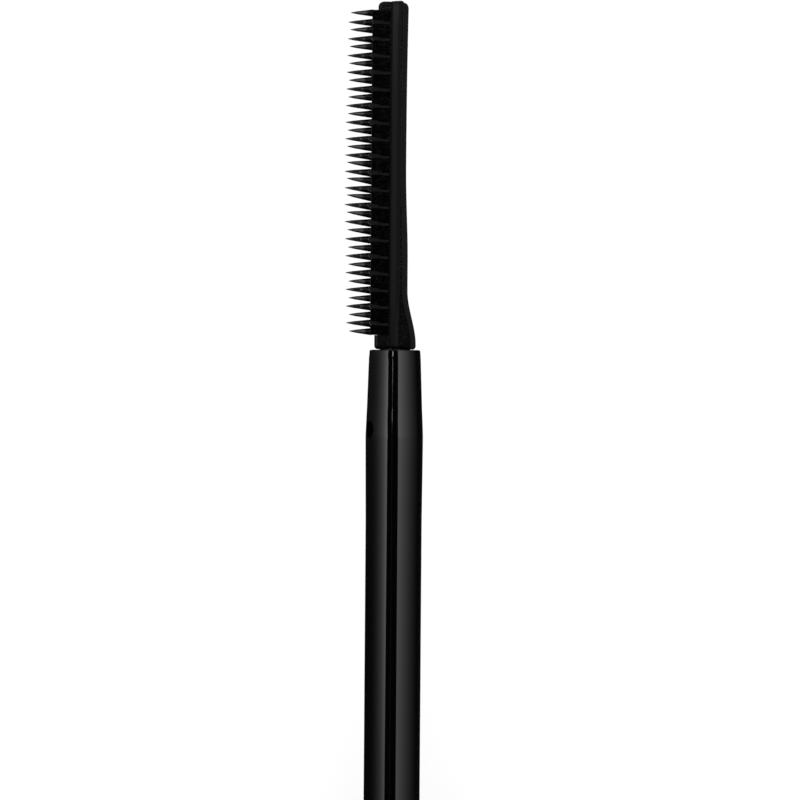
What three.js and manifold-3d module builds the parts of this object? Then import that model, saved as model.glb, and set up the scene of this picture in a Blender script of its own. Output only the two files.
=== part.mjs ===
// A mascara, opened and laid down. The tube and the wand lie on one centre line, with the wand drawn
// fully out of the tube. Millimetres, +Z up. X runs along the centre line, from the tube's base to the
// end of the cap, and the mascara lies on Z = 0. Stations along X are measured from the brush's tip.

import * as THREE from 'three';
import { mergeVertices } from 'three/addons/utils/BufferGeometryUtils.js';
import Module from 'manifold-3d';

const manifold = await Module();
manifold.setup();

// Faceting and fits. A cutter reaches well past whatever it cuts.
const SIDES = 24;
const HALF_SIDE = Math.PI / SIDES;
const PRESS_GAP = 0.1;
const RUNNING_GAP = 0.3;
const CUTTER_REACH = 10;

// Outside of the tube and the cap
const BODY_RADIUS = 8.75;
const EDGE = 0.35;

// Brush
const CORE_RADIUS = 1.7;
const CORE_FOOT = 26.05;
const SHANK_RADIUS = 1.15;
const SHANK_END = 36.9;
const SPINE = { step: -0.4, stepHeight: 1, ridge: 0.4, ridgeHeight: 1.28 };
const SLAB = { edge: -1.48, half: 0.55 };
const WEB = { start: 0.55, end: 25.15, edge: -1.35, half: 0.3 };
const STRIP_EDGE = -1.83;
const RIB = { width: 0.34, height: 0.64, edge: -1.6 };
const BRUSH_SPIN = THREE.MathUtils.degToRad(7.5);
const FAN = THREE.MathUtils.degToRad(2);
const REAR_ROW = { first: 0.86, pitch: 1.263, count: 20, fan: FAN, reach: 3.75, leanDegrees: 5.2 };
const FRONT_ROW = { first: 1.58, pitch: 1.258, count: 19, fan: -FAN, reach: 3.87, leanDegrees: 2.7 };
const TOOTH = { sides: 6, rootRadius: 0.31, tipRadius: 0.07, rootDepth: 1.5 };
const LONGEST_TOOTH_STATION = 14.5;
const REACH_FALL = 0.00118;
const LEAST_LEAN_DEGREES = 1.25;
const LEAN_SPREAD = 3.6;

// Stem
const STEM_RADIUS = 2.11;
const STEM_RIM = { station: 26.2, radius: 1.93, chamfer: 0.12 };
const STEM_SWELL = { station: 32.8, radius: 2.17 };
const STEM_STRAIGHT = 38.5;
const STEM_BORE = { radius: 1.25, end: 37.5 };
const STEM_HEAD = { start: 82.9, end: 91, radius: 3.4 };
const WINDOW = { station: 32.2, radius: 0.6, key: 0.5, angle: THREE.MathUtils.degToRad(63) };

// Cap
const CAP_RIM = 69;
const CAP_END = 125;
const CAP_WALL = 1.05;
const CAP_RECESS = { radius: 7.6, depth: 0.8 };
const CAP_END_WALL = 1.4;
const INSERT = { rim: 69.8, bore: 7, radius: 7.6, wall: 0.7, top: 93, floor: 80.9, floorTop: 82.8 };
const BOSS = { radius: 4.4, bore: STEM_HEAD.radius + PRESS_GAP, end: 92 };
const GASKET = { face: 80, thickness: 0.8, bore: 2.4, radius: 6.8 };
const WEIGHT = { radius: 7.2, length: 9 };

// Travel of the wand, from drawn out to screwed down on the neck
const PULL_TRAVEL = 85.9;

// Tube
const WIPER = { face: GASKET.face - PULL_TRAVEL - PRESS_GAP, flange: 0.6, radius: 5.5, cup: 4.1, wall: 0.4 };
const WIPER_CUP_END = WIPER.face - 6.3;
const WIPER_LIP = { station: WIPER.face - 10.5, radius: 2.25 };
const NECK = { rim: WIPER.face - WIPER.flange - PRESS_GAP, radius: 5.7, bore: 4.7 };
const NECK_BEAD = { low: -16.6, high: -15.6, slope: 0.2, radius: 6.2 };
const RING = { low: -19.8, high: -17.3, radius: 8.5, bevel: 0.25 };
const SLEEVE_TOP = RING.low - RUNNING_GAP;
const SLEEVE_BORE = 7.75;
const VIAL = { shoulder: -20.2, radius: 7.6, inside: 6.4, insideTop: -21.5, bottom: -90.6, floor: 1.2 };
const VIAL_BORE_END = -17.5;
const TUBE_BASE = -94;
const PLUG = { flange: 0.9, spigotTop: -91 };
const SLEEVE_BASE = TUBE_BASE + PLUG.flange + PRESS_GAP;

// Two-start thread on the neck, and the one inside the cap that runs in it
const THREAD = { starts: 2, lead: 5, turns: 0.75, rootWidth: 1.3, crestWidth: 0.6 };
const THREAD_FADE = { steps: 3, start: 0.2 };
const NECK_THREAD = { root: NECK.radius - RUNNING_GAP, crest: 6.3, start: -12.9 };
const CAP_THREAD = { root: INSERT.bore + PRESS_GAP, crest: 6.5, start: 74.6 };

const FINISHES = {
  gloss: { color: 0x0a0a0b, roughness: 0.08, metalness: 0 },
  satin: { color: 0x101011, roughness: 0.45, metalness: 0 },
  elastomer: { color: 0x0b0b0c, roughness: 0.3, metalness: 0 },
  natural: { color: 0xd8d8d0, roughness: 0.4, metalness: 0 },
  dark_metal: { color: 0x3a3a3d, roughness: 0.2, metalness: 1 },
  steel: { color: 0xb0b0b4, roughness: 0.35, metalness: 1 },
};

// Turns a shape drawn in X and Y and pushed along Z into one drawn in Y and Z and pushed along X.
const ALONG_X = new THREE.Matrix4().makeBasis(
  new THREE.Vector3(0, 1, 0),
  new THREE.Vector3(0, 0, 1),
  new THREE.Vector3(1, 0, 0),
);

// Turned pieces. An outline lists [radius, station]: the outside runs towards the cap's end and the
// inside comes back. One that touches the axis starts and ends on it, and any other closes on itself.
function turned(outline) {
  const points = outline.map(([radius, station]) => new THREE.Vector2(radius, station));
  if (outline[0][0] > 0) points.push(points[0].clone());
  return new THREE.LatheGeometry(points, SIDES, HALF_SIDE).rotateZ(-Math.PI / 2);
}

function solidOf(geometry) {
  const bare = geometry.clone();
  bare.deleteAttribute('normal');
  bare.deleteAttribute('uv');
  const merged = mergeVertices(bare, 1e-4);
  const corners = [];
  for (let i = 0; i < merged.index.count; i += 3) {
    const triangle = [0, 1, 2].map((k) => merged.index.getX(i + k));
    if (new Set(triangle).size === 3) corners.push(...triangle);
  }
  return new manifold.Manifold(
    new manifold.Mesh({
      numProp: 3,
      vertProperties: new Float32Array(merged.attributes.position.array),
      triVerts: Uint32Array.from(corners),
    }),
  );
}

function geometryOf(solid) {
  const { vertProperties, triVerts } = solid.getMesh();
  const geometry = new THREE.BufferGeometry();
  geometry.setAttribute('position', new THREE.BufferAttribute(vertProperties, 3));
  geometry.setIndex(new THREE.BufferAttribute(triVerts, 1));
  geometry.computeVertexNormals();
  return geometry;
}

function joined(...geometries) {
  return geometryOf(geometries.map(solidOf).reduce((whole, piece) => whole.add(piece)));
}

function cut(geometry, ...cutters) {
  const whole = solidOf(geometry);
  return geometryOf(cutters.map(solidOf).reduce((rest, cutter) => rest.subtract(cutter), whole));
}

function common(geometry, other) {
  return geometryOf(solidOf(geometry).intersect(solidOf(other)));
}

// An outline in [y, z], pushed along X.
function extruded(outline, start, end) {
  const shape = new THREE.Shape(outline.map(([y, z]) => new THREE.Vector2(y, z)));
  return new THREE.ExtrudeGeometry(shape, { depth: end - start, bevelEnabled: false })
    .applyMatrix4(ALONG_X)
    .translate(start, 0, 0);
}

function block({ x, y, z }) {
  const size = [x, y, z].map(([low, high]) => high - low);
  const centre = [x, y, z].map(([low, high]) => (low + high) / 2);
  return new THREE.BoxGeometry(...size).translate(...centre);
}

// A thread ridge is a long box bent round the axis as a right-hand helix, trapezoidal in section and
// faded out at both ends.
function threadRidge({ root, crest, start }, firstAngle) {
  const steps = Math.round(THREAD.turns * SIDES);
  const ridge = new THREE.BoxGeometry(1, 1, 1, 1, 1, steps);
  const place = ridge.attributes.position;
  const outward = Math.sign(crest - root);
  for (let i = 0; i < place.count; i += 1) {
    const height = place.getX(i) + 0.5;
    const along = place.getZ(i) + 0.5;
    const fromEnd = Math.min(along, 1 - along) * steps;
    const fade = Math.min(1, (fromEnd + THREAD_FADE.start) / THREAD_FADE.steps);
    const radius = root + (crest - root) * height * fade;
    const width = THREE.MathUtils.lerp(THREAD.rootWidth, THREAD.crestWidth, height);
    const angle = firstAngle + along * THREAD.turns * 2 * Math.PI;
    const station = start + along * THREAD.turns * THREAD.lead - outward * place.getY(i) * width;
    place.setXYZ(i, station, radius * Math.cos(angle), radius * Math.sin(angle));
  }
  return ridge;
}

function threadRidges(thread) {
  const starts = Array.from({ length: THREAD.starts }, (_, k) => k);
  return starts.map((k) => threadRidge(thread, HALF_SIDE + (k * 2 * Math.PI) / THREAD.starts));
}

// A round peg that stands out from the centre line at the window's angle round the stem.
function windowPeg(radius, inner, outer) {
  return new THREE.CylinderGeometry(radius, radius, outer - inner, 12)
    .translate(0, (inner + outer) / 2, 0)
    .rotateX(Math.PI / 2 + WINDOW.angle)
    .translate(WINDOW.station, 0, 0);
}

// The teeth lean towards the tip, most of all by the longest one.
function toothLean(station, rowLeanDegrees) {
  const away = (station - LONGEST_TOOTH_STATION) / LEAN_SPREAD;
  return THREE.MathUtils.degToRad(LEAST_LEAN_DEGREES + rowLeanDegrees * Math.exp(-(away ** 2)));
}

function tooth(station, { fan, reach, leanDegrees }) {
  const length = reach - REACH_FALL * (station - LONGEST_TOOTH_STATION) ** 2 - TOOTH.rootDepth;
  return new THREE.CylinderGeometry(TOOTH.tipRadius, TOOTH.rootRadius, length, TOOTH.sides)
    .translate(0, length / 2, 0)
    .rotateZ(Math.PI - toothLean(station, leanDegrees))
    .translate(0, -TOOTH.rootDepth, 0)
    .rotateX(fan)
    .translate(station, 0, 0);
}

function toothRow(row) {
  return Array.from({ length: row.count }, (_, k) => tooth(row.first + k * row.pitch, row));
}

// Brush pieces are shaped with the comb pointing along -Y, then spun as they sit in the stem. The strip
// is a channel moulded round the core's web, and a rib backs each tooth on the face of the strip.
function stripChannel() {
  const x = [WEB.start + PRESS_GAP, WEB.end - PRESS_GAP];
  const top = SPINE.step - PRESS_GAP;
  const outside = block({ x, y: [STRIP_EDGE, top], z: [-SLAB.half, SLAB.half] });
  const inside = WEB.half + PRESS_GAP;
  const pocket = block({ x: [-1, CORE_FOOT], y: [WEB.edge - PRESS_GAP, CUTTER_REACH], z: [-inside, inside] });
  return cut(outside, pocket);
}

function ribs({ first, pitch, count, fan }) {
  const z = fan < 0 ? [SLAB.half - PRESS_GAP, RIB.height] : [-RIB.height, PRESS_GAP - SLAB.half];
  return Array.from({ length: count }, (_, k) => {
    const station = first + k * pitch;
    const x = [Math.max(station - RIB.width / 2, WEB.start + PRESS_GAP), station + RIB.width / 2];
    return block({ x, y: [RIB.edge, SPINE.step - PRESS_GAP], z });
  });
}

function bristleStrip() {
  const rows = [REAR_ROW, FRONT_ROW].flatMap((row) => [...toothRow(row), ...ribs(row)]);
  return joined(stripChannel(), ...rows).rotateX(BRUSH_SPIN);
}

// The core is a slab with a roofed spine along its back, thinned to a web where the strip goes round it.
// Its back is a shallow hollow that flares out to the foot.
function coreSection() {
  const upper = [
    [SLAB.edge, SLAB.half],
    [SPINE.step, SLAB.half],
    [SPINE.step, SPINE.stepHeight],
    [SPINE.ridge, SPINE.ridgeHeight],
    [CUTTER_REACH, SPINE.ridgeHeight],
  ];
  const lower = upper.map(([y, z]) => [y, -z]).reverse();
  return extruded([...upper, ...lower], -1, CORE_FOOT);
}

function coreRound() {
  return turned([
    [0, 0],
    [1.05, 0.02],
    [1.45, 0.3],
    [CORE_RADIUS, 0.85],
    [CORE_RADIUS, CORE_FOOT - EDGE],
    [CORE_RADIUS - EDGE, CORE_FOOT],
    [0, CORE_FOOT],
  ]);
}

function backCutter() {
  const back = new THREE.Shape();
  back.moveTo(-1, 0.72);
  back.quadraticCurveTo(10.5, 0.48, 21.7, 0.78);
  back.lineTo(23.4, 1.02);
  back.lineTo(25.1, 1.4);
  back.lineTo(CORE_FOOT + EDGE, 1.45);
  back.lineTo(CORE_FOOT + EDGE, 3);
  back.lineTo(-1, 3);
  const options = { depth: 6, bevelEnabled: false, curveSegments: 6 };
  return new THREE.ExtrudeGeometry(back, options).translate(0, 0, -options.depth / 2);
}

function webCutters() {
  const x = [WEB.start, WEB.end];
  const y = [-CUTTER_REACH, SPINE.step];
  return [
    block({ x, y, z: [WEB.half, CUTTER_REACH] }),
    block({ x, y, z: [-CUTTER_REACH, -WEB.half] }),
    block({ x, y: [-CUTTER_REACH, WEB.edge], z: [-CUTTER_REACH, CUTTER_REACH] }),
  ];
}

function shank() {
  return turned([
    [0, CORE_FOOT - PRESS_GAP],
    [SHANK_RADIUS, CORE_FOOT - PRESS_GAP],
    [SHANK_RADIUS, SHANK_END - EDGE],
    [SHANK_RADIUS - EDGE, SHANK_END],
    [0, SHANK_END],
  ]);
}

function brushCore() {
  const blade = cut(common(coreRound(), coreSection()), backCutter(), ...webCutters()).rotateX(BRUSH_SPIN);
  return joined(blade, shank(), windowPeg(WINDOW.key, SHANK_RADIUS / 2, STEM_RADIUS - PRESS_GAP));
}

function stem() {
  const rod = turned([
    [0, STEM_BORE.end],
    [STEM_BORE.radius, STEM_BORE.end],
    [STEM_BORE.radius, STEM_RIM.station],
    [STEM_RIM.radius - STEM_RIM.chamfer, STEM_RIM.station],
    [STEM_RIM.radius, STEM_RIM.station + STEM_RIM.chamfer],
    [STEM_SWELL.radius, STEM_SWELL.station],
    [STEM_RADIUS, STEM_STRAIGHT],
    [STEM_RADIUS, STEM_HEAD.start],
    [STEM_HEAD.radius, STEM_HEAD.start],
    [STEM_HEAD.radius, STEM_HEAD.end],
    [0, STEM_HEAD.end],
  ]);
  return cut(rod, windowPeg(WINDOW.radius, SHANK_RADIUS / 2, CUTTER_REACH));
}

function capShell() {
  const inside = BODY_RADIUS - CAP_WALL;
  const recessFloor = CAP_END - CAP_RECESS.depth;
  return turned([
    [0, recessFloor - CAP_END_WALL],
    [inside, recessFloor - CAP_END_WALL],
    [inside, CAP_RIM],
    [BODY_RADIUS - EDGE, CAP_RIM],
    [BODY_RADIUS, CAP_RIM + EDGE],
    [BODY_RADIUS, CAP_END - EDGE],
    [BODY_RADIUS - EDGE, CAP_END],
    [CAP_RECESS.radius, CAP_END],
    [CAP_RECESS.radius, recessFloor],
    [0, recessFloor],
  ]);
}

function capInsert() {
  const body = turned([
    [INSERT.radius, INSERT.rim],
    [INSERT.radius, INSERT.top],
    [INSERT.radius - INSERT.wall, INSERT.top],
    [INSERT.radius - INSERT.wall, INSERT.floorTop],
    [BOSS.radius, INSERT.floorTop],
    [BOSS.radius, BOSS.end],
    [BOSS.bore, BOSS.end],
    [BOSS.bore, INSERT.floorTop],
    [STEM_RADIUS + PRESS_GAP, INSERT.floorTop],
    [STEM_RADIUS + PRESS_GAP, INSERT.floor],
    [INSERT.bore, INSERT.floor],
    [INSERT.bore, INSERT.rim],
  ]);
  return joined(body, ...threadRidges(CAP_THREAD));
}

function capWeight() {
  const end = CAP_END - CAP_RECESS.depth - CAP_END_WALL - PRESS_GAP;
  return turned([
    [0, end - WEIGHT.length],
    [WEIGHT.radius, end - WEIGHT.length],
    [WEIGHT.radius, end],
    [0, end],
  ]);
}

function capEndDisc() {
  const radius = CAP_RECESS.radius - PRESS_GAP;
  const start = CAP_END - CAP_RECESS.depth + PRESS_GAP;
  return turned([[0, start], [radius, start], [radius, CAP_END], [0, CAP_END]]);
}

function gasket() {
  return turned([
    [GASKET.radius, GASKET.face],
    [GASKET.radius, GASKET.face + GASKET.thickness],
    [GASKET.bore, GASKET.face + GASKET.thickness],
    [GASKET.bore, GASKET.face],
  ]);
}

function tubeSleeve() {
  return turned([
    [BODY_RADIUS, SLEEVE_BASE],
    [BODY_RADIUS, SLEEVE_TOP - EDGE],
    [BODY_RADIUS - EDGE, SLEEVE_TOP],
    [SLEEVE_BORE, SLEEVE_TOP],
    [SLEEVE_BORE, SLEEVE_BASE],
  ]);
}

function innerVial() {
  const body = turned([
    [0, VIAL.bottom],
    [VIAL.radius, VIAL.bottom],
    [VIAL.radius, VIAL.shoulder - EDGE],
    [VIAL.radius - EDGE, VIAL.shoulder],
    [NECK.radius, VIAL.shoulder],
    [NECK.radius, NECK_BEAD.low],
    [NECK_BEAD.radius, NECK_BEAD.low + NECK_BEAD.slope],
    [NECK_BEAD.radius, NECK_BEAD.high - NECK_BEAD.slope],
    [NECK.radius, NECK_BEAD.high],
    [NECK.radius, NECK.rim],
    [NECK.bore, NECK.rim],
    [NECK.bore, VIAL_BORE_END],
    [VIAL.inside, VIAL.insideTop],
    [VIAL.inside, VIAL.bottom + VIAL.floor],
    [0, VIAL.bottom + VIAL.floor],
  ]);
  return joined(body, ...threadRidges(NECK_THREAD));
}

function basePlug() {
  const flangeTop = TUBE_BASE + PLUG.flange;
  const spigot = SLEEVE_BORE - PRESS_GAP;
  return turned([
    [0, TUBE_BASE],
    [BODY_RADIUS - EDGE, TUBE_BASE],
    [BODY_RADIUS, TUBE_BASE + EDGE],
    [BODY_RADIUS, flangeTop],
    [spigot, flangeTop],
    [spigot, PLUG.spigotTop],
    [0, PLUG.spigotTop],
  ]);
}

function wiper() {
  const outside = NECK.bore - PRESS_GAP;
  const flangeUnder = WIPER.face - WIPER.flange;
  return turned([
    [WIPER_LIP.radius + WIPER.wall, WIPER_LIP.station],
    [outside, WIPER_CUP_END - WIPER.wall],
    [outside, flangeUnder],
    [WIPER.radius, flangeUnder],
    [WIPER.radius, WIPER.face],
    [WIPER.cup, WIPER.face],
    [WIPER.cup, WIPER_CUP_END],
    [WIPER_LIP.radius, WIPER_LIP.station],
  ]);
}

function shoulderRing() {
  const bore = NECK.radius + RUNNING_GAP;
  return turned([
    [RING.radius - RING.bevel, RING.low],
    [RING.radius, RING.low + RING.bevel],
    [RING.radius, RING.high - RING.bevel],
    [RING.radius - RING.bevel, RING.high],
    [bore, RING.high],
    [bore, RING.low],
  ]);
}

function piece(name, geometry, finish) {
  const mesh = new THREE.Mesh(geometry, new THREE.MeshStandardMaterial(FINISHES[finish]));
  mesh.name = name;
  return mesh;
}

const wand = new THREE.Group();
wand.add(
  piece('brush_core', brushCore(), 'satin'),
  piece('bristle_strip', bristleStrip(), 'elastomer'),
  piece('stem', stem(), 'gloss'),
  piece('cap_shell', capShell(), 'gloss'),
  piece('cap_insert', capInsert(), 'satin'),
  piece('cap_weight', capWeight(), 'steel'),
  piece('cap_end_disc', capEndDisc(), 'dark_metal'),
  piece('gasket', gasket(), 'natural'),
);

const tube = new THREE.Group();
tube.add(
  piece('tube_sleeve', tubeSleeve(), 'gloss'),
  piece('inner_vial', innerVial(), 'satin'),
  piece('base_plug', basePlug(), 'gloss'),
  piece('wiper', wiper(), 'natural'),
  piece('shoulder_ring', shoulderRing(), 'dark_metal'),
);

const mascara = new THREE.Group();
mascara.add(tube, wand);
mascara.position.set(-(TUBE_BASE + CAP_END) / 2, 0, BODY_RADIUS * Math.cos(HALF_SIDE));

export default mascara;
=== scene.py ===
"""An opened mascara lying on a pale table: the wand's comb brush and the top of its stem in close-up.

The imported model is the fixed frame. Every CAD node is replaced by a finer piece whose outside keeps the
node's size to about 0.1 mm, except that the snap peg ends 0.3 mm deeper in its window. Shapes are worked
out in millimetres: a station is measured along the centre line from the brush's tip, and a radius from
the centre line. The comb points along -Y and the camera looks straight down.
"""

import math
from dataclasses import dataclass

import bmesh
import bpy
from mathutils import Matrix, Vector

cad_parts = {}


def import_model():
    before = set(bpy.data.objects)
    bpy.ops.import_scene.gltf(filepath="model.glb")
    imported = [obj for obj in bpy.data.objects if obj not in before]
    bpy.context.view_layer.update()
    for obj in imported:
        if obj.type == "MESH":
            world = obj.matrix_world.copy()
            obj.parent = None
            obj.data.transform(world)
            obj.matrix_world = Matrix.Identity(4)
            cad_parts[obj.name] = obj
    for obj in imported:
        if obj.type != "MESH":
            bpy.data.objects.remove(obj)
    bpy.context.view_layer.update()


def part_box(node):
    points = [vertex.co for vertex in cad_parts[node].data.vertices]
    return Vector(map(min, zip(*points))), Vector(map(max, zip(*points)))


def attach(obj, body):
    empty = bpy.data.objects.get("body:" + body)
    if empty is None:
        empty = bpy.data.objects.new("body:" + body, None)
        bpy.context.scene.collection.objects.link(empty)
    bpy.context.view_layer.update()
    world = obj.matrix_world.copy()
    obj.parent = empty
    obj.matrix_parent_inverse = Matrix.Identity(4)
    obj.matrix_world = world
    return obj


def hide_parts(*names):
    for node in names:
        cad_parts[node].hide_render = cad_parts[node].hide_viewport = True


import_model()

MM = 0.001
SLEEVE_LOW, SLEEVE_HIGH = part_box("tube_sleeve")
TIP_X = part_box("brush_core")[0].x
AXIS_Z = (SLEEVE_LOW.z + SLEEVE_HIGH.z) / 2


def station_of(x):
    """Millimetres from the brush's tip, for a place along X in metres."""
    return (x - TIP_X) / MM


def low_station(node):
    return station_of(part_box(node)[0].x)


def high_station(node):
    return station_of(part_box(node)[1].x)


# Outside of tube and cap: flat to flat in the frame, so that the round piece lies on the floor.
BODY_RADIUS = AXIS_Z / MM

# Brush. The core is a slab with a roofed spine along its back. The strip of teeth is moulded round a
# thinner web in the slab, and a rib backs each tooth on the strip's face. The brush sits turned in the
# stem by BRUSH_SPIN, and each row of teeth stands at FAN from the comb's middle plane. Teeth get
# shorter by REACH_FALL times the square of their distance from the longest one, and lean about a point
# at LEAN_PIVOT from the centre line.
BRUSH_SPIN = math.radians(7.5)
FAN = math.radians(2)
REACH_FALL = 0.00118
LONGEST_STATION = 14.5
TOOTH_ROOT_RADIUS = 0.32
TOOTH_SIDES = 24
LEAN_PIVOT = 1.5
RIB_TOP, RIB_SLOPE = 0.63, 0.36
RIB_NARROW, RIB_WIDE = 0.09, 0.15
WEB_START, WEB_END = 0.6, 25.1
WEB_HALF = 0.3
WEB_EDGE = -1.36
STRIP_EDGE = -1.83
STEP = -0.4
CORE_END = 26.15
SHANK_RADIUS = 1.15
SHANK_END = 36.9

# Stem, with a window near its rim that the shank's peg snaps into
STEM_RIM = 26.2
STEM_RADIUS = 2.1
STEM_HEAD_START = 82.9
STEM_HEAD_RADIUS = 3.4
WINDOW_STATION = 32.2
WINDOW_RADIUS = 0.6
WINDOW_ANGLE = math.radians(63)
KEY_RADIUS = 0.5

# Segments of a turned piece, the angle above which an edge stays sharp, and the most of a side that
# one fillet may take
ROUND = 128
SHARP = math.radians(24)
FILLET_SHARE = 0.49


# ---------------------------------------------------------------- mesh helpers


def world(station, y, z):
    """A point given in millimetres from the tip and the centre line, in metres in the row frame."""
    return Vector((TIP_X + station * MM, y * MM, AXIS_Z + z * MM))


def smooth_step(low, high, value):
    t = min(max((value - low) / (high - low), 0.0), 1.0)
    return t * t * (3 - 2 * t)


def mix(a, b, share):
    return a + (b - a) * share


def spaced(start, end, steps):
    return [mix(start, end, k / steps) for k in range(steps + 1)]


def add_object(name, data):
    made = bpy.data.objects.new(name, data)
    bpy.context.scene.collection.objects.link(made)
    return made


def mesh_from(name, mesh_maker):
    mesh = bpy.data.meshes.new(name)
    bm = mesh_maker()
    bmesh.ops.recalc_face_normals(bm, faces=bm.faces)
    bm.to_mesh(mesh)
    bm.free()
    return mesh


def shade_with_edges(mesh):
    mesh.shade_smooth()
    mesh.set_sharp_from_angle(angle=SHARP)


def piece(name, mesh_maker, body, node, material):
    """Makes an object from a bmesh, attaches it to the body it rides on, and hides the CAD node it stands
    for.
    """
    mesh = mesh_from(name, mesh_maker)
    shade_with_edges(mesh)
    mesh.materials.append(material)
    made = add_object(name, mesh)
    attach(made, body)
    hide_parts(node)
    return made


def corner_arc(corners, i, size, share, steps=None):
    """Points round a corner, where the fillet takes at most a share of each side next to it."""
    here = Vector(corners[i][:2])
    before = Vector(corners[i - 1][:2]) - here
    after = Vector(corners[(i + 1) % len(corners)][:2]) - here
    half_angle = before.angle(after) / 2
    reach = min(size / math.tan(half_angle), before.length * share, after.length * share)
    start = here + before.normalized() * reach
    end = here + after.normalized() * reach
    if steps is None:
        steps = max(3, math.ceil((math.pi - 2 * half_angle) / math.radians(12)))
    turns = [k / steps for k in range(steps + 1)]
    return [start * (1 - t) ** 2 + here * 2 * t * (1 - t) + end * t * t for t in turns]


def fillet(corners, closed):
    """Rounds an outline. A corner is (radius, station) or (radius, station, fillet radius)."""
    points = []
    for i, corner in enumerate(corners):
        size = corner[2] if len(corner) > 2 else 0.0
        at_end = not closed and i in (0, len(corners) - 1)
        if size <= 0 or at_end:
            points.append(Vector(corner[:2]))
        else:
            points += corner_arc(corners, i, size, FILLET_SHARE)
    return points


def revolve(corners, segments=ROUND, ridges=()):
    """Turns an outline round the centre line. It touches the axis at both ends, or closes on itself."""

    def make():
        closed = corners[0][0] > 0
        outline = fillet(corners, closed)
        bm = bmesh.new()
        rings = []
        for radius, station in outline:
            if radius < 1e-6:
                rings.append([bm.verts.new(world(station, 0, 0))])
                continue
            turn = [2 * math.pi * k / segments for k in range(segments)]
            places = [world(station, -radius * math.sin(a), radius * math.cos(a)) for a in turn]
            rings.append([bm.verts.new(place) for place in places])
        pairs = list(zip(rings, rings[1:]))
        if closed:
            pairs.append((rings[-1], rings[0]))
        for low, high in pairs:
            bridge(bm, low, high, segments)
        for ridge in ridges:
            ridge(bm)
        return bm

    return make


def bridge(bm, low, high, segments):
    """Faces between two rings, either of which may be a single point on the axis."""
    for k in range(segments):
        n = (k + 1) % segments
        if len(low) == 1 and len(high) == 1:
            return
        if len(low) == 1:
            bm.faces.new((low[0], high[k], high[n]))
        elif len(high) == 1:
            bm.faces.new((low[k], high[0], low[n]))
        else:
            bm.faces.new((low[k], high[k], high[n], low[n]))


def loft(bm, rings):
    """Closed tube through rings of points that all have the same count, with a fan over each end."""
    made = [[bm.verts.new(p) for p in ring] for ring in rings]
    count = len(made[0])
    for low, high in zip(made, made[1:]):
        bridge(bm, low, high, count)
    for ring in (made[0], made[-1]):
        centre = sum((v.co for v in ring), Vector()) / count
        hub = bm.verts.new(centre)
        for k in range(count):
            bm.faces.new((ring[k], ring[(k + 1) % count], hub))


def boolean(target, cutter_maker, operation):
    """Cuts target with a second mesh, or joins the two, and leaves no modifier behind."""
    cutter = add_object("cutter", mesh_from("cutter", cutter_maker))
    modifier = target.modifiers.new("cut", "BOOLEAN")
    modifier.object = cutter
    modifier.operation = operation
    modifier.solver = "EXACT"
    bpy.context.view_layer.update()
    result = target.evaluated_get(bpy.context.evaluated_depsgraph_get())
    shaped = bpy.data.meshes.new_from_object(result)
    target.modifiers.clear()
    name = target.data.name
    target.data = shaped
    shaped.name = name
    shade_with_edges(shaped)
    bpy.data.objects.remove(cutter)
    return target


# ---------------------------------------------------------------- materials


def new_material(name, base, roughness, metallic=0.0, ior=1.5):
    material = bpy.data.materials.new(name)
    material.use_nodes = True
    shader = material.node_tree.nodes["Principled BSDF"]
    shader.inputs["Base Color"].default_value = (*base, 1.0)
    shader.inputs["Roughness"].default_value = roughness
    shader.inputs["Metallic"].default_value = metallic
    shader.inputs["IOR"].default_value = ior
    return material, material.node_tree, shader


def noise(tree, scale, detail, stretch=(1, 1, 1)):
    """Noise in object space, in features per millimetre, drawn out along an axis by a stretch under 1."""
    nodes, links = tree.nodes, tree.links
    place = nodes.new("ShaderNodeTexCoord")
    mapping = nodes.new("ShaderNodeMapping")
    mapping.inputs["Scale"].default_value = [s / MM for s in stretch]
    texture = nodes.new("ShaderNodeTexNoise")
    texture.inputs["Scale"].default_value = scale
    texture.inputs["Detail"].default_value = detail
    links.new(place.outputs["Object"], mapping.inputs["Vector"])
    links.new(mapping.outputs["Vector"], texture.inputs["Vector"])
    return texture.outputs["Fac"]


def spread(tree, value, low, high):
    """Maps noise, which mostly lies between 0.3 and 0.7, to a range."""
    node = tree.nodes.new("ShaderNodeMapRange")
    node.inputs["From Min"].default_value = 0.3
    node.inputs["From Max"].default_value = 0.7
    node.inputs["To Min"].default_value = low
    node.inputs["To Max"].default_value = high
    tree.links.new(value, node.inputs["Value"])
    return node.outputs["Result"]


def vary_colour(tree, shader, value, dark, light):
    ramp = tree.nodes.new("ShaderNodeMix")
    ramp.data_type = "RGBA"
    ramp.inputs[6].default_value = (*dark, 1.0)
    ramp.inputs[7].default_value = (*light, 1.0)
    tree.links.new(value, ramp.inputs[0])
    tree.links.new(ramp.outputs[2], shader.inputs["Base Color"])


def vary_roughness(tree, shader, value, low, high):
    tree.links.new(spread(tree, value, low, high), shader.inputs["Roughness"])


def relief(tree, shader, value, depth_mm):
    bump = tree.nodes.new("ShaderNodeBump")
    bump.inputs["Distance"].default_value = depth_mm * MM
    bump.inputs["Strength"].default_value = 1.0
    tree.links.new(value, bump.inputs["Height"])
    tree.links.new(bump.outputs["Normal"], shader.inputs["Normal"])


def polished_black(name, base):
    """Injection-moulded black, polished: a faint flow ripple and slightly uneven gloss."""
    material, tree, shader = new_material(name, base, 0.07)
    vary_roughness(tree, shader, noise(tree, 1.2, 3), 0.055, 0.085)
    vary_colour(tree, shader, noise(tree, 0.4, 2), base, [c * 1.25 for c in base])
    relief(tree, shader, noise(tree, 0.5, 2, (0.25, 1, 1)), 0.0006)
    return material


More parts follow.
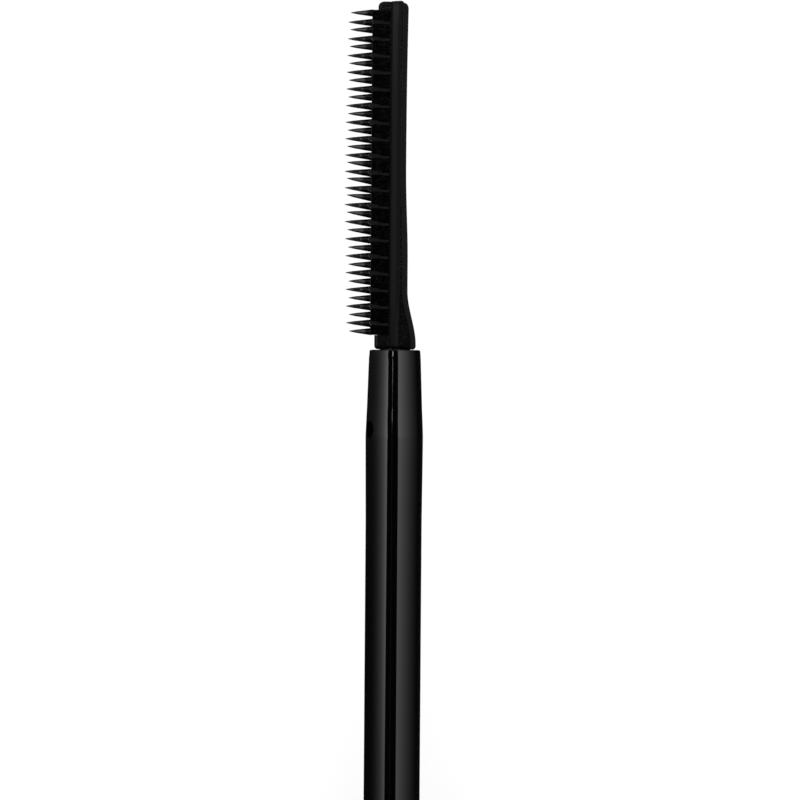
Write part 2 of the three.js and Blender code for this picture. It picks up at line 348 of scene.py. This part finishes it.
def satin_black(name, base, roughness, grain, ior, depth=0.0003):
    """Moulded black with a fine spark-eroded grain."""
    material, tree, shader = new_material(name, base, roughness, ior=ior)
    vary_roughness(tree, shader, noise(tree, 2.5, 4), roughness - 0.04, roughness + 0.05)
    vary_colour(tree, shader, noise(tree, 0.9, 3), base, [c * 1.5 for c in base])
    relief(tree, shader, noise(tree, grain, 3), depth)
    return material


def turned_metal(name, base, roughness):
    """Dark anodised metal with fine lines left by turning."""
    material, tree, shader = new_material(name, base, roughness, metallic=1.0)
    lines = noise(tree, 9.0, 4, (1, 0.05, 0.05))
    vary_roughness(tree, shader, lines, roughness - 0.06, roughness + 0.08)
    vary_colour(tree, shader, noise(tree, 0.6, 3), base, [min(1.0, c * 1.2) for c in base])
    relief(tree, shader, lines, 0.0008)
    return material


def soft_natural(name, base, roughness, scatter):
    """Unpigmented polymer that lets some light through."""
    material, tree, shader = new_material(name, base, roughness)
    shader.inputs["Subsurface Weight"].default_value = scatter
    shader.inputs["Subsurface Radius"].default_value = (0.6 * MM, 0.55 * MM, 0.5 * MM)
    shader.inputs["Subsurface Scale"].default_value = 1.0
    vary_colour(tree, shader, noise(tree, 1.5, 4), [c * 0.93 for c in base], base)
    vary_roughness(tree, shader, noise(tree, 3.0, 4), roughness - 0.05, roughness + 0.08)
    relief(tree, shader, noise(tree, 8.0, 3), 0.004)
    return material


STEM_BLACK = polished_black("stem_polished_black", (0.0006, 0.0006, 0.00065))
CASE_BLACK = polished_black("case_polished_black", (0.0016, 0.0016, 0.0018))
CORE_BLACK = satin_black("core_satin_black", (0.0008, 0.0008, 0.0009), 0.25, 5.0, 1.3)
BRISTLE_BLACK = satin_black("bristle_elastomer_black", (0.0004, 0.0004, 0.00045), 0.11, 6.0, 1.5, 0.00014)
MOULDED_BLACK = satin_black("moulded_black", (0.006, 0.006, 0.0065), 0.38, 9.0, 1.5)
TRIM_METAL = turned_metal("trim_dark_metal", (0.1, 0.1, 0.11), 0.2)
WEIGHT_STEEL = turned_metal("weight_steel", (0.55, 0.55, 0.56), 0.32)
LINER_FOAM = soft_natural("liner_foam", (0.8, 0.8, 0.77), 0.6, 0.1)
WIPER_SOFT = soft_natural("wiper_natural", (0.74, 0.74, 0.7), 0.35, 0.35)


# ---------------------------------------------------------------- brush


def spin(y, z):
    """The brush as it sits in the stem, turned about the centre line."""
    c, s = math.cos(BRUSH_SPIN), math.sin(BRUSH_SPIN)
    return y * c - z * s, y * s + z * c


def back_face(station):
    """How far the brush's back stands from the centre line: hollow in the middle, flared to the foot."""
    narrowest, middle = 0.59, 11.5
    at_tip, at_bottom, at_foot = 0.11, 0.17, 0.67
    if station < middle:
        back = narrowest + at_tip * ((station - middle) / middle) ** 2
    else:
        back = narrowest + at_bottom * smooth_step(12.5, 19.5, station)
    return back + at_foot * smooth_step(21.7, 25.8, station)


def core_section(station, on_web):
    """Upper half of the cross-section, as (y, z, fillet) corners from the comb side to the back."""
    at_tip = 1 - smooth_step(0.5, 2.2, station)
    near_tip = 1 - smooth_step(1.5, 9, station)
    at_foot = smooth_step(21.6, 25.2, station)
    edge = -1.34 if on_web else -1.4 - 0.13 * smooth_step(1, 25, station)
    half_at_edge = WEB_HALF if on_web else 0.61
    half_at_step = WEB_HALF if on_web else 0.52
    back = back_face(station)
    ridge = mix(mix(0.48, 0.56, at_tip), 0.39, at_foot)
    return [
        (edge, half_at_edge, 0.3),
        (STEP, half_at_step, 0.05),
        (STEP + 0.02, mix(0.83, 0.875, near_tip), 0.03),
        (STEP + 0.17, mix(0.965, 1.02, near_tip), 0.3),
        (ridge - 0.27, mix(1.165, 1.175, near_tip), 0.6),
        (ridge, mix(1.33, 1.29, at_foot), 0.02),
        (back, mix(1.31, 1.18, at_foot), 0.07),
    ]


def rounded_ring(corners):
    """A closed outline with the same count of points for any fillet sizes above 0.

    A corner of size 0 stays sharp.
    """
    corner_steps, side_points, share = 6, 3, 0.45
    arcs = []
    for i, (y, z, size) in enumerate(corners):
        if size == 0:
            arcs.append([Vector((y, z))])
        else:
            arcs.append(corner_arc(corners, i, size, share, corner_steps))
    ring = []
    for i, arc in enumerate(arcs):
        following = arcs[(i + 1) % len(arcs)][0]
        ring += arc
        ring += [arc[-1].lerp(following, k / (side_points + 1)) for k in range(1, side_points + 1)]
    return ring


def core_ring(station, place, inset, on_web):
    """The section at a station, drawn in by an inset and set down at a place along the brush."""
    upper = core_section(station, on_web)
    lower = [(y, -z, size) for y, z, size in reversed(upper)]
    centre = Vector((-0.3, 0.0))
    least = 0.02
    ring = []
    for point in rounded_ring(upper + lower):
        away = point - centre
        y, z = spin(*(centre + away * max(least, 1 - inset / away.length)))
        ring.append(world(place, y, z))
    return ring


def quarter_round(size, steps):
    """Pairs of (distance along, inset) round the end of a piece, from its face to its side."""
    turn = [math.pi / 2 * k / steps for k in range(steps + 1)]
    return [(size * (1 - math.cos(a)), size * (1 - math.sin(a))) for a in turn]


def core_rings():
    tip_round, foot_round = 0.42, 0.26
    step_length = 0.01
    rings = [core_ring(tip_round, along, inset, False) for along, inset in quarter_round(tip_round, 12)]
    rings.append(core_ring(WEB_START, WEB_START, 0, False))
    web = spaced(WEB_START + step_length, WEB_END - step_length, 120)
    rings += [core_ring(at, at, 0, True) for at in web]
    rings += [core_ring(at, at, 0, False) for at in spaced(WEB_END, CORE_END - foot_round, 6)]
    foot = quarter_round(foot_round, 8)[:-1]
    rings += [core_ring(CORE_END, CORE_END - along, inset, False) for along, inset in reversed(foot)]
    return rings


def ring_about(angle, lift, radius, sides=40):
    """A ring round an axis that stands out from the centre line at the window's station."""
    turn = Matrix.Rotation(math.pi / 2 + angle, 3, "X")
    points = []
    for k in range(sides):
        around = 2 * math.pi * k / sides
        place = turn @ Vector((radius * math.cos(around), lift, radius * math.sin(around)))
        points.append(world(WINDOW_STATION + place.x, place.y, place.z))
    return points


def key_mesh():
    """The peg on the shank that snaps into the stem's window and ends a little below its outside."""
    bm = bmesh.new()
    sunk = 0.4
    top = STEM_RADIUS - sunk
    rings = [ring_about(WINDOW_ANGLE, 0.5, KEY_RADIUS)]
    for along, inset in reversed(quarter_round(0.12, 5)):
        rings.append(ring_about(WINDOW_ANGLE, top - along, KEY_RADIUS - inset))
    loft(bm, rings)
    return bm


def brush_core_mesh():
    bm = bmesh.new()
    loft(bm, core_rings())
    return bm


def shank_mesh():
    start = CORE_END - 0.04
    outline = [(0, start), (SHANK_RADIUS, start), (SHANK_RADIUS, SHANK_END, 0.35), (0, SHANK_END)]
    return revolve(outline, 96)()


def brush_core():
    core = piece("brush_core_moulded", brush_core_mesh, "wand", "brush_core", CORE_BLACK)
    boolean(core, shank_mesh, "UNION")
    return boolean(core, key_mesh, "UNION")


@dataclass
class Row:
    """A row of teeth. Side is 1 above the comb's middle plane and -1 below it; lean is in degrees."""

    side: int
    first: float
    pitch: float
    bow: float
    count: int
    reach: float
    shorter_at_foot: float
    lean: float

    def stations(self):
        middle = self.first + self.pitch * (self.count - 1) / 2
        for k in range(self.count):
            station = self.first + k * self.pitch
            yield station + self.bow * (1 - ((station - middle) / middle) ** 2)

    def reach_at(self, station):
        fall = REACH_FALL * (station - LONGEST_STATION) ** 2
        return self.reach - fall - self.shorter_at_foot * smooth_step(15, 20, station)

    def lean_at(self, station):
        """The teeth lean towards the tip, most of all by the longest one."""
        return math.radians(1.25 + self.lean * math.exp(-(((station - LONGEST_STATION) / 3.6) ** 2)))


REAR_ROW = Row(-1, 0.83, 1.263, 0.06, 20, 3.76, 0.13, 5.2)
FRONT_ROW = Row(1, 1.57, 1.258, 0.01, 19, 3.88, 0.07, 2.7)


def tooth_radius(from_tip):
    """A straight taper that ends in a fine tip."""
    return min(0.025 + 0.2 * from_tip, 0.06 + 0.127 * from_tip, TOOTH_ROOT_RADIUS)


def gusset(from_tip):
    """How much taller than wide a tooth is, rising ever more steeply towards the strip."""
    start, full, slope = 0.8, 1.75, 0.5
    along = max(0.0, from_tip - start)
    return slope * min(along**2 / (2 * (full - start)), along - (full - start) / 2)


def ring_distances(reach):
    """Where a tooth's rings stand: close together at its tip and where it runs out into its rib."""
    tip_length, tip_steps = 0.3, 6
    tip = [reach - tip_length * (k / tip_steps) ** 2 for k in range(tip_steps)]
    shaft = spaced(reach - tip_length, 2.2, 11)
    run_out = spaced(2.175, 1.65, 21)
    rib = spaced(1.55, 0.46, 9)
    return tip + shaft + run_out + rib


def tooth(bm, station, row):
    """One tapered tooth, which runs on over the strip's face as a low rib up to the core's step."""
    reach = row.reach_at(station)
    lean = math.tan(row.lean_at(station))
    in_strip = 1.8
    rings = []
    for distance in ring_distances(reach):
        from_tip = reach - distance
        radius = tooth_radius(from_tip)
        on_face = 1 - smooth_step(1.55, 1.9, distance)
        rib_half = mix(RIB_NARROW, RIB_WIDE, smooth_step(0.9, 1.4, distance))
        height = distance * math.sin(FAN)
        half_height = radius + max(0.0, gusset(from_tip))
        top = height + half_height
        bottom = height - half_height if distance > in_strip else WEB_HALF
        half_width = mix(radius, rib_half, on_face)
        centre, half_height = (top + bottom) / 2, (top - bottom) / 2
        ring = []
        for k in range(TOOTH_SIDES):
            around = 2 * math.pi * k / TOOTH_SIDES
            across = half_width * math.cos(around)
            level = min(centre + half_height * math.sin(around), RIB_TOP + RIB_SLOPE * across)
            y, z = spin(-distance * math.cos(FAN), row.side * level)
            place = station - lean * (distance - LEAN_PIVOT) + across + RIB_WIDE - rib_half
            ring.append(world(place, y, z))
        rings.append(ring)
    loft(bm, rings)


def strip_ring(place, inset):
    """The strip's channel section: round the web on three sides, and open to the core's step."""
    clearance = 0.02
    inner = WEB_HALF + clearance
    half_at_edge, half_at_step = 0.57 - inset, 0.56 - inset
    edge, end = STRIP_EDGE + inset, STEP + clearance
    upper = [
        (WEB_EDGE, inner, 0.05),
        (end, inner, 0),
        (end, half_at_step, 0),
        (edge, half_at_edge, 0.025),
    ]
    lower = [(y, -z, size) for y, z, size in reversed(upper)]
    return [world(place, *spin(*point)) for point in rounded_ring(upper + lower)]


def bristle_mesh():
    bm = bmesh.new()
    low, high = WEB_START + 0.03, WEB_END - 0.03
    end_round = quarter_round(0.08, 4)
    rings = [strip_ring(low + along, inset) for along, inset in end_round]
    rings += [strip_ring(place, 0) for place in spaced(low + 0.1, high - 0.1, 100)]
    rings += [strip_ring(high - along, inset) for along, inset in reversed(end_round)]
    channel_loft(bm, rings)
    for row in (REAR_ROW, FRONT_ROW):
        for station in row.stations():
            tooth(bm, station, row)
    return bm


def channel_loft(bm, rings):
    """As loft, but the ends are closed by one face each, because a hub would fall outside a channel."""
    made = [[bm.verts.new(p) for p in ring] for ring in rings]
    for low, high in zip(made, made[1:]):
        bridge(bm, low, high, len(low))
    bm.faces.new(made[0])
    bm.faces.new(list(reversed(made[-1])))


def bristle_strip():
    return piece("bristle_comb", bristle_mesh, "wand", "bristle_strip", BRISTLE_BLACK)


# ---------------------------------------------------------------- stem


def window_cutter():
    """A drill through the stem's wall, with a small bevel at the surface."""
    bm = bmesh.new()
    bottom, bevel_start = 0.6, STEM_RADIUS - 0.02
    bevel = 0.3
    rings = [
        ring_about(WINDOW_ANGLE, bottom, WINDOW_RADIUS),
        ring_about(WINDOW_ANGLE, bevel_start, WINDOW_RADIUS),
        ring_about(WINDOW_ANGLE, bevel_start + bevel, WINDOW_RADIUS + bevel),
    ]
    loft(bm, rings)
    return bm


def stem():
    head_end = high_station("stem")
    socket_radius, socket_end = 1.25, 37.5
    outline = [
        (0, socket_end),
        (socket_radius, socket_end, 0.2),
        (socket_radius, STEM_RIM, 0.05),
        (1.9, STEM_RIM, 0.12),
        (1.95, 26.8, 6),
        (2.075, 30.6, 30),
        (2.12, 31.6, 6),
        (2.163, 32.7, 9),
        (2.145, 35.0, 30),
        (STEM_RADIUS + 0.01, 39.0, 30),
        (STEM_RADIUS + 0.01, STEM_HEAD_START, 0.2),
        (STEM_HEAD_RADIUS, STEM_HEAD_START, 0.3),
        (STEM_HEAD_RADIUS, head_end, 0.3),
        (0, head_end),
    ]
    made = piece("stem_rod", revolve(outline, 192), "wand", "stem", STEM_BLACK)
    return boolean(made, window_cutter, "DIFFERENCE")


# ---------------------------------------------------------------- cap and tube


def helix_ridge(root, crest, start, first_angle, lead=5.0, turns=0.75):
    """A thread ridge with a rounded crest, faded out at both ends."""

    profile = [(0, -0.65), (0.55, -0.48), (0.85, -0.36), (1, -0.2)]
    profile += [(height, -width) for height, width in reversed(profile)]

    def add(bm):
        steps = 96
        rings = []
        for k in range(steps + 1):
            along = k / steps
            fade = smooth_step(0, 0.12, min(along, 1 - along) + 0.004)
            angle = first_angle + along * turns * 2 * math.pi
            middle = start + along * turns * lead
            ring = []
            for height, width in profile:
                radius = root + (crest - root) * height * max(fade, 0.05)
                station = middle + width * (0.5 + 0.5 * fade)
                ring.append(world(station, radius * math.cos(angle), radius * math.sin(angle)))
            rings.append(ring)
        loft(bm, rings)

    return add


def threads(root, crest, start):
    """A two-start thread."""
    half_side = math.pi / 24
    return [helix_ridge(root, crest, start, half_side + k * math.pi) for k in range(2)]


def cap_shell():
    rim, end = low_station("cap_shell"), high_station("cap_shell")
    recess, recess_radius = end - 0.8, 7.6
    roof, bore = recess - 1.4, 7.7
    outline = [
        (0, roof),
        (bore, roof, 0.4),
        (bore, rim, 0.15),
        (BODY_RADIUS, rim, 0.3),
        (BODY_RADIUS, end, 0.45),
        (recess_radius, end, 0.08),
        (recess_radius, recess, 0.05),
        (0, recess),
    ]
    return piece("cap_shell_round", revolve(outline), "wand", "cap_shell", CASE_BLACK)


def cap_end_disc():
    start, end = low_station("cap_end_disc"), high_station("cap_end_disc")
    radius, dish = 7.48, end - 0.1
    outline = [
        (0, start),
        (radius, start, 0.05),
        (radius, end, 0.12),
        (6.9, end, 0.1),
        (6.75, dish, 0.1),
        (0, dish),
    ]
    return piece("cap_end_trim", revolve(outline), "wand", "cap_end_disc", TRIM_METAL)


def cap_insert():
    """A threaded sleeve with a floor across it, which carries the socket round the stem's head."""
    rim, top = low_station("cap_insert"), high_station("cap_insert")
    outside, upper_bore, bore, stem_hole = 7.6, 6.9, 7.0, 2.2
    seat, floor_top = 80.9, STEM_HEAD_START - 0.1
    socket_end, socket_outside, socket_bore = 92, 4.4, STEM_HEAD_RADIUS + 0.1
    outline = [
        (outside, rim, 0.15),
        (outside, top, 0.15),
        (upper_bore, top, 0.15),
        (upper_bore, floor_top, 0.2),
        (socket_outside, floor_top, 0.2),
        (socket_outside, socket_end, 0.2),
        (socket_bore, socket_end, 0.2),
        (socket_bore, floor_top, 0.05),
        (stem_hole, floor_top, 0.05),
        (stem_hole, seat, 0.05),
        (bore, seat, 0.2),
        (bore, rim, 0.15),
    ]
    shape = revolve(outline, ridges=threads(bore + 0.1, 6.5, 74.6))
    return piece("cap_insert_threaded", shape, "wand", "cap_insert", MOULDED_BLACK)


def cap_weight():
    start, end = low_station("cap_weight"), high_station("cap_weight")
    radius = 7.2
    outline = [(0, start), (radius, start, 0.3), (radius, end, 0.3), (0, end)]
    return piece("cap_weight_slug", revolve(outline), "wand", "cap_weight", WEIGHT_STEEL)


def gasket():
    start, end = low_station("gasket"), high_station("gasket")
    outside, hole = 6.8, 2.4
    outline = [(outside, start, 0.1), (outside, end, 0.1), (hole, end, 0.1), (hole, start, 0.1)]
    return piece("gasket_liner", revolve(outline), "wand", "gasket", LINER_FOAM)


def tube_sleeve():
    base, top = low_station("tube_sleeve"), high_station("tube_sleeve")
    bore = 7.75
    outline = [(BODY_RADIUS, base, 0.08), (BODY_RADIUS, top, 0.3), (bore, top, 0.1), (bore, base, 0.05)]
    return piece("tube_sleeve_round", revolve(outline), "tube", "tube_sleeve", CASE_BLACK)


def base_plug():
    base, top = low_station("base_plug"), high_station("base_plug")
    dish, flange, plug_radius = base + 0.25, base + 0.9, 7.65
    outline = [
        (0, dish),
        (6.2, dish, 0.3),
        (6.5, base, 0.2),
        (BODY_RADIUS, base, 0.4),
        (BODY_RADIUS, flange, 0.06),
        (plug_radius, flange, 0.05),
        (plug_radius, top, 0.2),
        (0, top),
    ]
    return piece("base_plug_round", revolve(outline), "tube", "base_plug", CASE_BLACK)


def inner_vial():
    """A bottle with a threaded neck and a bead below the thread."""
    bottom, rim = low_station("inner_vial"), high_station("inner_vial")
    outside, shoulder, neck, bead = 7.6, -20.2, 5.7, 6.2
    inside, neck_bore, floor_top = 6.4, 4.7, bottom + 1.2
    outline = [
        (0, bottom),
        (outside, bottom, 0.6),
        (outside, shoulder, 0.3),
        (neck, shoulder, 0.15),
        (neck, -16.6, 0.1),
        (bead, -16.4, 0.15),
        (bead, -15.8, 0.15),
        (neck, -15.6, 0.1),
        (neck, rim, 0.18),
        (neck_bore, rim, 0.1),
        (neck_bore, -17.5, 0.6),
        (inside, -21.5, 0.8),
        (inside, floor_top, 0.8),
        (0, floor_top),
    ]
    shape = revolve(outline, ridges=threads(neck - 0.2, 6.3, -12.9))
    return piece("inner_vial_threaded", shape, "tube", "inner_vial", MOULDED_BLACK)


def wiper():
    """A flanged sleeve that narrows to a thin lip round the stem."""
    lip, face = low_station("wiper"), high_station("wiper")
    sleeve, bore, flange, flange_back = 4.6, 4.1, 5.5, face - 0.6
    outline = [
        (2.65, lip, 0.1),
        (sleeve, face - 6.7, 0.4),
        (sleeve, flange_back, 0.08),
        (flange, flange_back, 0.15),
        (flange, face, 0.15),
        (bore, face, 0.25),
        (bore, face - 6.3, 0.4),
        (2.25, lip, 0.1),
    ]
    return piece("wiper_lip", revolve(outline), "tube", "wiper", WIPER_SOFT)


def shoulder_ring():
    low, high = low_station("shoulder_ring"), high_station("shoulder_ring")
    outside, bore = 8.45, 6.0
    outline = [(outside, low, 0.2), (outside, high, 0.2), (bore, high, 0.1), (bore, low, 0.1)]
    shape = revolve(outline)
    return piece("shoulder_ring_round", shape, "collar", "shoulder_ring", TRIM_METAL)


# ---------------------------------------------------------------- studio

# Metres, as is everything in the studio, with angles from straight up
CARD_RADIUS = 0.5
CARD_REACH = 0.6


def grid_faces(rows, columns):
    """Faces of a grid whose vertices are listed row by row, one more each way than there are faces."""
    stride = columns + 1
    firsts = [i * stride + j for i in range(rows) for j in range(columns)]
    return [(a, a + 1, a + stride + 1, a + stride) for a in firsts]


def arc_card(name, side, inner_angle, tail_angle, brightness, along=24):
    """A curved light card over one side of the centre line, with finer steps near its inner edge."""
    mesh = bpy.data.meshes.new(name)
    glow = []
    vertices = []
    across, crowding = 90, 1.4
    for i in range(across + 1):
        share = i / across
        for j in range(along + 1):
            x = mix(-CARD_REACH, CARD_REACH, j / along)
            angle = mix(inner_angle(x), tail_angle, share**crowding)
            y = side * CARD_RADIUS * math.sin(angle)
            z = CARD_RADIUS * math.cos(angle)
            vertices.append((x, y, AXIS_Z + z))
            glow.append(brightness(math.degrees(angle), x))
    mesh.from_pydata(vertices, [], grid_faces(across, along))
    return glowing(name, mesh, glow)


def glowing(name, mesh, glow):
    """A stage object that shines by a brightness at each of its vertices and shows only in reflections."""
    layer = mesh.attributes.new("brightness", "FLOAT", "POINT")
    layer.data.foreach_set("value", glow)
    card = add_object(name, mesh)
    material = bpy.data.materials.new(name)
    material.use_nodes = True
    tree = material.node_tree
    tree.nodes.clear()
    out = tree.nodes.new("ShaderNodeOutputMaterial")
    light = tree.nodes.new("ShaderNodeEmission")
    reader = tree.nodes.new("ShaderNodeAttribute")
    reader.attribute_name = "brightness"
    tree.links.new(reader.outputs["Fac"], light.inputs["Strength"])
    tree.links.new(light.outputs["Emission"], out.inputs["Surface"])
    mesh.materials.append(material)
    reflected_only(card)
    return card


def reflected_only(thing):
    thing.visible_camera = False
    thing.visible_diffuse = False
    thing.visible_shadow = False
    thing.visible_transmission = False
    thing.visible_volume_scatter = False


def left_inner(x):
    return math.radians(26.2 + 5 * smooth_step(-0.02, 0.1, x) + 5 * smooth_step(-0.022, -0.045, x))


def right_inner(x):
    return math.radians(14.7 + 1.5 * smooth_step(-0.02, 0.04, x))


def left_brightness(angle, x):
    """Brightest at its edge over the brush, and weaker and quicker to fall along the stem."""
    along = smooth_step(-0.02, 0.03, x)
    fall = math.exp(-(angle - 25) / mix(22, 18.5, along))
    fall = fall * (1 - 0.7 * smooth_step(60, 110, angle) * along)
    low_glow = mix(0.035, 0.01, along) * (1 - 0.8 * smooth_step(120, 160, angle))
    return 3.3 * fall * mix(1.0, 0.5, smooth_step(0.02, 0.1, x)) + low_glow


def right_brightness(angle, x):
    """Brightest at its edge, with a faint glow left low down."""
    fall = max(0.0, 1 - (angle - 15) / 105) ** 2
    bright = 2.1 * fall * mix(1.05, 0.62, smooth_step(-0.01, 0.09, x))
    return bright + 0.015 + 0.02 * smooth_step(150, 165, angle)


def streak_inner(x):
    return math.radians(8.3)


def streak_brightness(angle, x):
    """A thin streak, bright where the stem's tapered end and its rim reflect it to the main camera."""
    taper = 0.2 + 8 * smooth_step(-0.0215, -0.029, x) * smooth_step(-0.038, -0.031, x)
    rim = 16 * smooth_step(-0.06, -0.075, x)
    return (taper + rim) * smooth_step(-0.15, -0.12, x)


def light_cards():
    under = math.radians(176)
    arc_card("card_left", -1, left_inner, under, left_brightness)
    arc_card("card_right", 1, right_inner, under, right_brightness)
    arc_card("card_streak", -1, streak_inner, math.radians(9.6), streak_brightness, along=300)
    end_card("card_tube_end", -1, 0.4)
    end_card("card_cap_end", 1, 0.08)


def end_card(name, side, strength):
    """An upright card beyond one end of the mascara, brightest low down."""
    mesh = bpy.data.meshes.new(name)
    steps = 24
    away, half_width, bottom, top = 0.85, 0.45, -0.3, 2.2
    vertices = []
    glow = []
    for y in spaced(-half_width, half_width, steps):
        for z in spaced(bottom, top, steps):
            vertices.append((side * away, y, z))
            share = 1 - 0.5 * smooth_step(0.5, 0.9, z) - 0.5 * smooth_step(1.4, top, z)
            glow.append(strength * share)
    mesh.from_pydata(vertices, [], grid_faces(steps, steps))
    return glowing(name, mesh, glow)


def floor():
    """A white floor, kept out of reflections so that the cards alone make the bands on the gloss black."""
    mesh = bpy.data.meshes.new("floor")
    half = 3.0
    corners = [(-half, -half, 0), (half, -half, 0), (half, half, 0), (-half, half, 0)]
    mesh.from_pydata(corners, [], [(0, 1, 2, 3)])
    ground = add_object("floor", mesh)
    material, _, shader = new_material("floor_white", (0.27, 0.27, 0.27), 0.9)
    shader.inputs["Specular IOR Level"].default_value = 0.0
    shader.inputs["Emission Color"].default_value = (1, 1, 1, 1)
    shader.inputs["Emission Strength"].default_value = 0.7
    mesh.materials.append(material)
    ground.visible_glossy = False


def surroundings():
    """A white world that lights the scene and, like the floor, is kept out of reflections."""
    sky = bpy.data.worlds.new("studio")
    bpy.context.scene.world = sky
    sky.use_nodes = True
    background = sky.node_tree.nodes["Background"]
    background.inputs["Color"].default_value = (1, 1, 1, 1)
    background.inputs["Strength"].default_value = 1.5
    sky.cycles_visibility.glossy = False
    view = bpy.context.scene.view_settings
    view.view_transform = "Standard"
    view.look = "None"
    view.exposure = 0.0
    view.gamma = 1.0


def camera():
    """Straight down on the brush and the top of the stem, through a long lens. Up is towards the tip."""
    frame_width = 60.2 * MM
    middle_station, middle_y = 29.96, 0.41
    tilt = math.radians(0.43)
    data = bpy.data.cameras.new("camera")
    data.sensor_width = 36.0
    data.lens = 200.0
    distance = frame_width * data.lens / data.sensor_width
    data.clip_start, data.clip_end = 0.01, 10.0
    eye = add_object("camera", data)
    eye.location = world(middle_station, middle_y, 0) + Vector((0, 0, distance))
    eye.rotation_euler = (0, 0, math.pi / 2 + tilt)
    bpy.context.scene.camera = eye


brush_core()
bristle_strip()
stem()
cap_shell()
cap_end_disc()
cap_insert()
cap_weight()
gasket()
tube_sleeve()
base_plug()
inner_vial()
wiper()
shoulder_ring()
light_cards()
floor()
surroundings()
camera()
